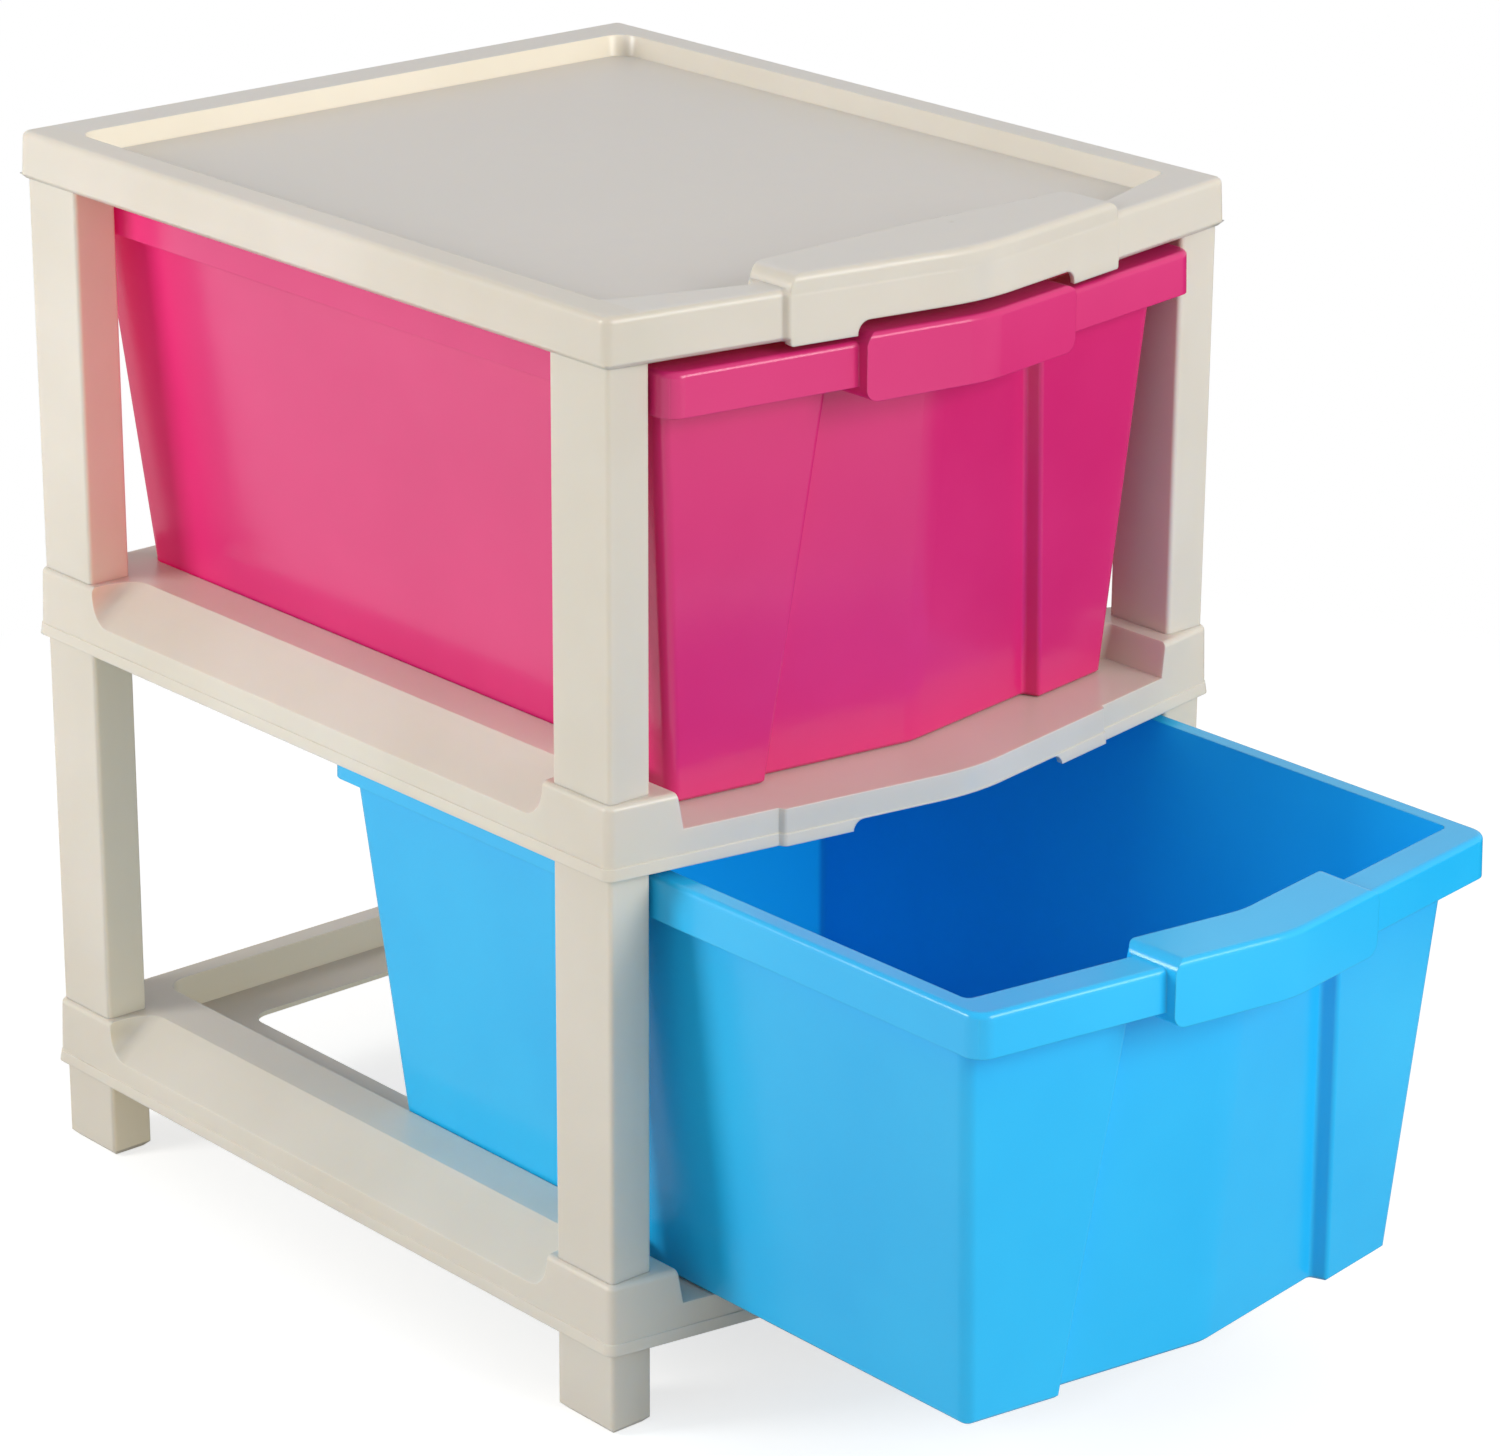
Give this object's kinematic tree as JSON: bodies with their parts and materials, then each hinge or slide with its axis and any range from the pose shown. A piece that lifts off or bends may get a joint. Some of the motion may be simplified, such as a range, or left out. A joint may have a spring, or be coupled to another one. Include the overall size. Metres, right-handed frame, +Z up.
{
  "type": "modular drawer unit",
  "caption": "Stacking plastic frame of open trays, square posts and a sunk cover, with tapered drawers that slide out at the front by moulded handles.",
  "frame": {"origin": "on the floor, under the middle of the whole unit's box with the lower drawer pulled out as in the picture", "axes": "+X to the right seen from the front, +Y from the front to the back, +Z up"},
  "size_m": [0.3426, 0.6078, 0.4835],
  "materials": {
    "cream_plastic": "semi-gloss moulded plastic, ivory cream",
    "pink_plastic": "gloss moulded plastic, slightly translucent pink",
    "blue_plastic": "gloss moulded plastic, slightly translucent sky blue"
  },
  "bodies": {
    "frame": {"top_cover": "cream_plastic", "middle_tray": "cream_plastic", "bottom_tray": "cream_plastic", "upper_front_left_post": "cream_plastic", "upper_front_right_post": "cream_plastic", "upper_rear_left_post": "cream_plastic", "upper_rear_right_post": "cream_plastic", "lower_front_left_post": "cream_plastic", "lower_front_right_post": "cream_plastic", "lower_rear_left_post": "cream_plastic", "lower_rear_right_post": "cream_plastic", "front_left_foot": "cream_plastic", "front_right_foot": "cream_plastic", "rear_left_foot": "cream_plastic", "rear_right_foot": "cream_plastic"},
    "upper_drawer": {"upper_drawer": "pink_plastic"},
    "lower_drawer": {"lower_drawer": "blue_plastic"}
  },
  "joints": [
    {"name": "upper_drawer_slide", "type": "slide", "parent": "frame", "child": "upper_drawer", "axis": [0, -1, 0], "range_m": [0, 0.25]},
    {"name": "lower_drawer_slide", "type": "slide", "parent": "frame", "child": "lower_drawer", "axis": [0, -1, 0], "range_m": [-0.177, 0.073]}
  ]
}
